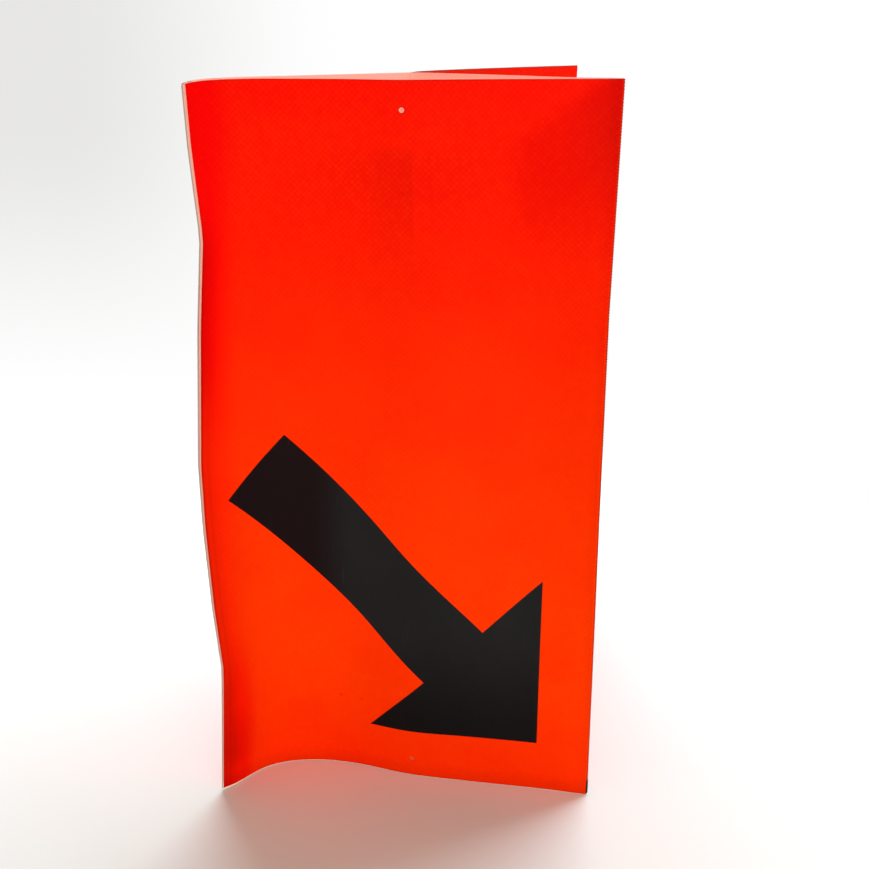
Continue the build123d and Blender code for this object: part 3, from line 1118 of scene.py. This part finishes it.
def stand(panel, layer, outline, band, finish, slot, holes=(), scored=no_fold_shade, steps=panel_steps):
    """One flat layer of a rear panel, cut, stood in its place and settled."""
    piece = flat_sheet(layer + "_sheet", outline, band, steps, holes)
    mark_fold_shade(piece, *scored)
    shape_by_nodes(piece, standing_panel, finish, **panel_stands[panel])
    settle(piece)
    return complete(piece, layer)


def stand_sheet(panel, left, right, core_finish, holes=panel_holes, scored=no_fold_shade, steps=panel_steps):
    """The core and the film of a rear panel, from one end of it to the other."""
    core = rectangle(left, right, 0.0, panel_height, steps)
    film = rectangle(left, right, film_low, film_high, steps)
    more = (holes, scored, steps)
    return (stand(panel, panel + "_core", core, core_band, core_finish, "sheet_core", *more),
            stand(panel, panel + "_film", film, film_band, orange_film, "orange_film", *more))


# Right rear panel
label_outline = rectangle(fold_setback, fold_setback + label_length, label_foot, label_top, panel_steps)
for piece in (
    *stand_sheet("right", fold_setback, panel_width, sheet_core),
    stand("right", "right_arrow", rear_arrow, print_band, black_film, "black_film"),
    stand("right", "corner_label", label_outline, print_band, label_black, "label_black"),
):
    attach(piece, "right")

# Closing panel
for piece in (
    *stand_sheet("closing", 0.0, closing_run, stained_core, scored=closing_fold_shade),
    stand("closing", "closing_arrow", rear_arrow, print_band, black_film, "black_film"),
):
    close_over(piece)
    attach(piece, "closing")

# Left rear panel, whose corner end meets the front's edge, baked in place and not attached to a body
left_steps = (front_step / 3, 2 * front_step)
for piece in stand_sheet("left", -left_reach, -left_panel_gap, dusty_core, left_holes, steps=left_steps):
    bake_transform(piece)

# Hinge tape inside the left corner, in two leaves that meet at the fold
tape_steps = (tape_step, 2 * front_step)
tape_up = even_steps(film_low, film_high, tape_steps[1])
tape_left = front_left(tape_up)
tape_outline = strip_outline(tape_left, tape_left + tape_width, tape_up, tape_steps[0])
tape_front = flat_sheet("left_hinge_tape_sheet", tape_outline, tape_band, tape_steps)
bend_front(tape_front)
tape_front.data.materials.append(hinge_tape)
settle(tape_front)
complete(tape_front, "left_hinge_tape")
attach(tape_front, "front")
rear_tape_outline = rectangle(-tape_width, 0.0, film_low, film_high, tape_steps)
tape_rear = flat_sheet("tape_rear", rear_tape_outline, tape_band, tape_steps)
shape_by_nodes(tape_rear, standing_panel, hinge_tape, **panel_stands["left"])
settle(tape_rear)
complete(tape_rear, ())
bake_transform(tape_rear)

# Right fold, part of the same sheet, and the end of the label that wraps round it
fold_ridges = fold_ridges_tree()
fold_width = fold_setback / tan(right_start_heading / 2) * right_start_heading
ridge_steps = (fold_width / fold_parts, ridge_pitch / ridge_parts)
smooth_steps = (fold_width / fold_parts, 2 * panel_step)
fold_core_outline = rectangle(0.0, fold_width, 0.0, panel_height, smooth_steps)
fold_film_outline = rectangle(0.0, fold_width, film_low, film_high, ridge_steps)
wrap_outline = rectangle(label_wrap_share * fold_width, fold_width, label_foot, label_top, ridge_steps)
for name, nodes, outline, band, steps, finish, slot in (
    ("right_fold_core", ["right_fold_core"], fold_core_outline, core_band, smooth_steps,
     sheet_core, "sheet_core"),
    ("right_fold_film", ["right_fold_film"], fold_film_outline, film_band, ridge_steps,
     orange_film, "orange_film"),
    ("corner_label_wrap", [], wrap_outline, print_band, ridge_steps, label_black, "label_black"),
):
    piece = flat_sheet(name + "_sheet", outline, band, steps)
    bend_right_fold(piece, fold_width)
    shape_by_nodes(piece, fold_ridges, finish, ridge_pitch=ridge_pitch, ridge_height=ridge_height)
    settle(piece)
    complete(piece, nodes)
    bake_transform(piece)

# Rear fold: a rounded end that fills the crease at every angle of the closing panel
round_fold = round_fold_tree()
crease_steps = (crease_step, 2 * panel_step)
crease_first = right_end_heading - pi / 2
crease_last = right_end_heading + pi / 2
for name, slot, finish, first, last, low, high in (
    ("rear_fold_film", "orange_film", orange_film, crease_first, crease_middle, film_low, film_high),
    ("rear_fold_core", "sheet_core", creased_core, crease_middle, crease_last, 0.0, panel_height),
):
    width = half_sheet * (last - first)
    outline = rectangle(0.0, width, low, high, crease_steps)
    piece = flat_sheet(name + "_sheet", outline, crease_band, crease_steps)
    shape_by_nodes(piece, round_fold, finish, centre_x=rear_axis.x, centre_y=rear_axis.y,
                   first_angle=first, turn=last - first, strip_width=width)
    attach(complete(piece, name), "right")

# Floor, world and lights

floor_reach = 30.0
floor_colour = (0.93, 0.91, 0.86, 1.0)
floor_roughness = 0.9
floor_white_range = (0.42, 0.80)
# Grey towards the far left of the backdrop: painted shade
backdrop_grey = (0.80, 0.795, 0.78)
grey_start = 1.1
grey_fade = 2.0
grey_inner_range = (-0.06, -0.30)
grey_outer_range = (-1.2, -0.5)
grey_ahead_range = (0.05, 0.30)
least_ahead = 0.001
view_distance = 1.21
world_light = 0.30
world_tint = (1.0, 0.97, 0.86)


def greyness(aside, ahead):
    """How grey the backdrop looks in a direction, as painted shade: most at the far left, and not at all
    behind the camera.
    """
    bearing = aside / maths("MAXIMUM", ahead, least_ahead)
    inner = smooth_range(bearing, *grey_inner_range) * smooth_range(ahead, *grey_ahead_range)
    return inner * smooth_range(bearing, *grey_outer_range)


def seen_by(tree, *kinds):
    """1 for rays of the kinds named, and 0 for others."""
    seen = 0.0
    for kind in kinds:
        seen = maths("MAXIMUM", add_node(tree, "ShaderNodeLightPath", kind), seen)
    return seen


def floor_finish():
    """Pale floor that takes the shadow near the sign and runs out to plain white."""
    material = bpy.data.materials.new("pale_floor")
    material.use_nodes = True
    tree = material.node_tree
    shader = tree.nodes["Principled BSDF"]
    put(shader.inputs["Base Color"], floor_colour)
    put(shader.inputs["Roughness"], floor_roughness)
    put(shader.inputs["Specular IOR Level"], 0.0)
    place = add_node(tree, "ShaderNodeTexCoord", "Object")
    away = add_node(tree, "ShaderNodeVectorMath", "Value", {0: place}, operation="LENGTH")
    far = smooth_range(away, *floor_white_range)
    aside, ahead, _ = parts(place)
    past_start = maths("MAXIMUM", ahead - grey_start, 0.0)
    nearness = maths("EXPONENT", past_start / -grey_fade)
    grey = greyness(aside, ahead + view_distance) * (1.0 - nearness)
    colour = mixed(grey, white_colour, backdrop_grey)
    white = add_node(tree, "ShaderNodeEmission", 0, {"Color": colour, "Strength": 1.0})
    share = far * seen_by(tree, "Is Camera Ray", "Is Glossy Ray")
    surface = add_node(tree, "ShaderNodeMixShader", 0, {0: share, 1: NodeValue(shader.outputs[0]), 2: white})
    put(tree.nodes["Material Output"].inputs["Surface"], surface)
    return material


floor_mesh = bpy.data.meshes.new("floor")
floor_corners = [(x * floor_reach, y * floor_reach, 0) for x, y in ((-1, -1), (1, -1), (1, 1), (-1, 1))]
floor_mesh.from_pydata(floor_corners, [], [(0, 1, 2, 3)])
floor_mesh.materials.append(floor_finish())
floor = bpy.data.objects.new("floor", floor_mesh)
bpy.context.scene.collection.objects.link(floor)
floor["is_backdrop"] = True

world = bpy.data.worlds.new("studio")
world.use_nodes = True
bpy.context.scene.world = world
background = world.node_tree.nodes["Background"].inputs
shown = seen_by(world.node_tree, "Is Camera Ray", "Is Glossy Ray", "Is Transmission Ray")
aside, ahead, _ = parts(add_node(world.node_tree, "ShaderNodeTexCoord", "Generated"))
backdrop = mixed(greyness(aside, ahead), white_colour, backdrop_grey)
put(background["Color"], mixed(shown, world_tint, backdrop))
put(background["Strength"], shown * (1.0 - world_light) + world_light)


def soft_light(name, place, target, size, power, colour, lit=None):
    """A broad lamp aimed at a place, which lights everything or only the pieces given."""
    lamp = bpy.data.lights.new(name, "AREA")
    lamp.shape = "RECTANGLE"
    lamp.size, lamp.size_y = size
    lamp.energy = power
    lamp.color = colour
    holder = bpy.data.objects.new(name, lamp)
    holder.location = place
    holder.rotation_euler = (Vector(target) - Vector(place)).to_track_quat("-Z", "Y").to_euler()
    bpy.context.scene.collection.objects.link(holder)
    if lit:
        holder.light_linking.receiver_collection = bpy.data.collections.new(name + "_lit")
        for piece in lit:
            holder.light_linking.receiver_collection.objects.link(piece)


# One window behind, brighter on the floor than on the sign, and a low lamp in front
sign_pieces = [piece for piece in bpy.context.scene.objects if piece.type == "MESH" and piece != floor]
window = dict(place=(0.70, 1.9, 1.9), target=(0.0, -0.2, 0.0), size=(4.6, 1.3), colour=(0.80, 0.90, 1.0))
soft_light("window_on_floor", power=195.0, lit=[floor], **window)
soft_light("window_on_sign", power=108.0, lit=sign_pieces, **window)
soft_light("low_front", place=(0.5, -3.0, 0.60), target=(0.0, 0.0, 0.35), size=(2.6, 1.0), power=46.0,
           colour=(1.0, 0.97, 0.82))

# Camera at the photograph's angle
camera_data = bpy.data.cameras.new("camera")
camera_data.sensor_width = 36.0
camera_data.lens = 50.916
camera = bpy.data.objects.new("camera", camera_data)
camera_place = Matrix.Translation((0.010607, -1.212630, 0.6206))
camera_tilt = Matrix.Rotation(radians(72.62), 4, "X")
camera_roll = Matrix.Rotation(radians(0.18), 4, "Z")
camera.matrix_world = camera_place @ camera_tilt @ camera_roll
bpy.context.scene.collection.objects.link(camera)
bpy.context.scene.camera = camera
bpy.context.scene.view_settings.view_transform = "Standard"

# Bounds of all that is rendered, the floor aside
low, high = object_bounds()
